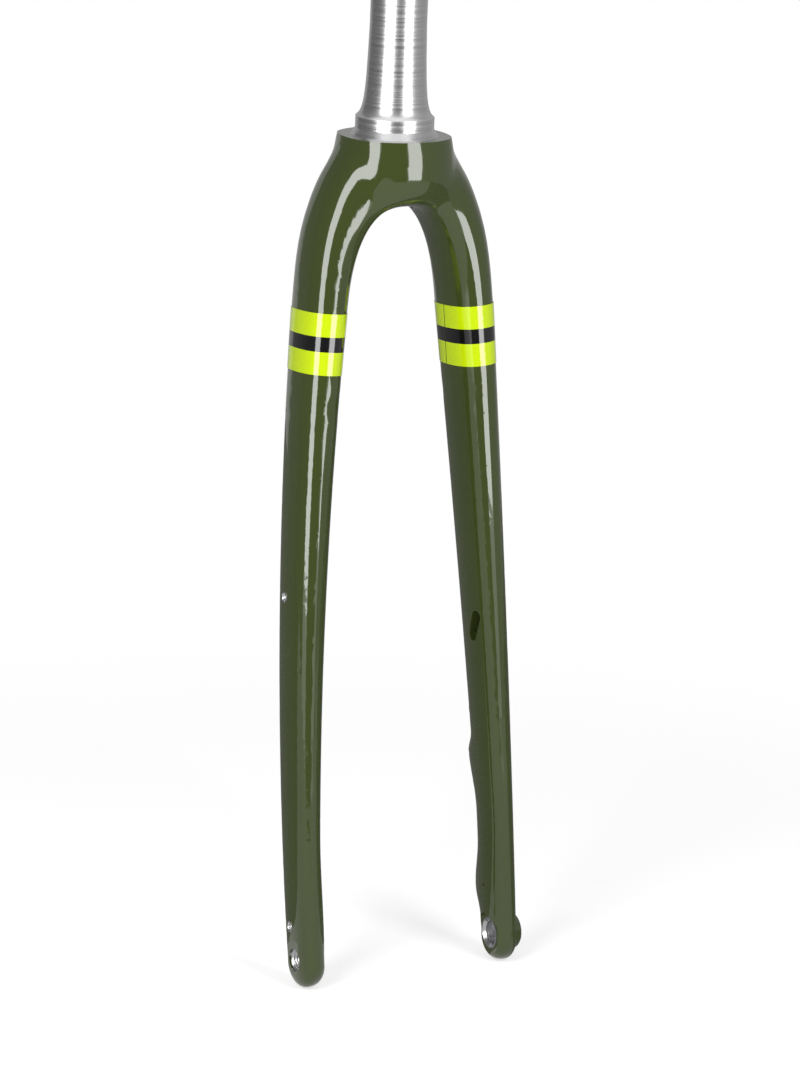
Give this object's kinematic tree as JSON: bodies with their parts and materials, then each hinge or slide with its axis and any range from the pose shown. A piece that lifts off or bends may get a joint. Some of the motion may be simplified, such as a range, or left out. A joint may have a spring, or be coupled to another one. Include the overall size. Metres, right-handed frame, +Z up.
{
  "type": "bicycle fork",
  "caption": "Rigid bicycle fork: a tapered steerer on a round crown that opens into curved legs, with through-axle ends, flat brake pads on one leg and a striped band round each leg.",
  "frame": {"origin": "on the steerer's axis at the foot of the crown race seat", "axes": "+Z up the steerer, -Y to the front, +X to the rider's left, which is the brake side"},
  "size_m": [0.1285, 0.0888, 0.7348],
  "materials": {
    "paint": "gloss olive green paint under clear coat on a moulded composite",
    "steerer_metal": "bare, satin turned",
    "insert_metal": "bare, machined",
    "yellow_film": "gloss film, neon yellow",
    "black_film": "gloss film, black"
  },
  "bodies": {
    "root": {"fork_body": "paint", "steerer_tube": "steerer_metal", "left_axle_insert": "insert_metal", "right_axle_insert": "insert_metal", "left_mid_eyelet": "insert_metal", "right_mid_eyelet": "insert_metal", "left_low_eyelet": "insert_metal", "right_low_eyelet": "insert_metal", "upper_brake_insert": "insert_metal", "lower_brake_insert": "insert_metal", "left_yellow_stripe": "yellow_film", "right_yellow_stripe": "yellow_film", "left_black_stripe": "black_film", "right_black_stripe": "black_film"}
  },
  "joints": []
}
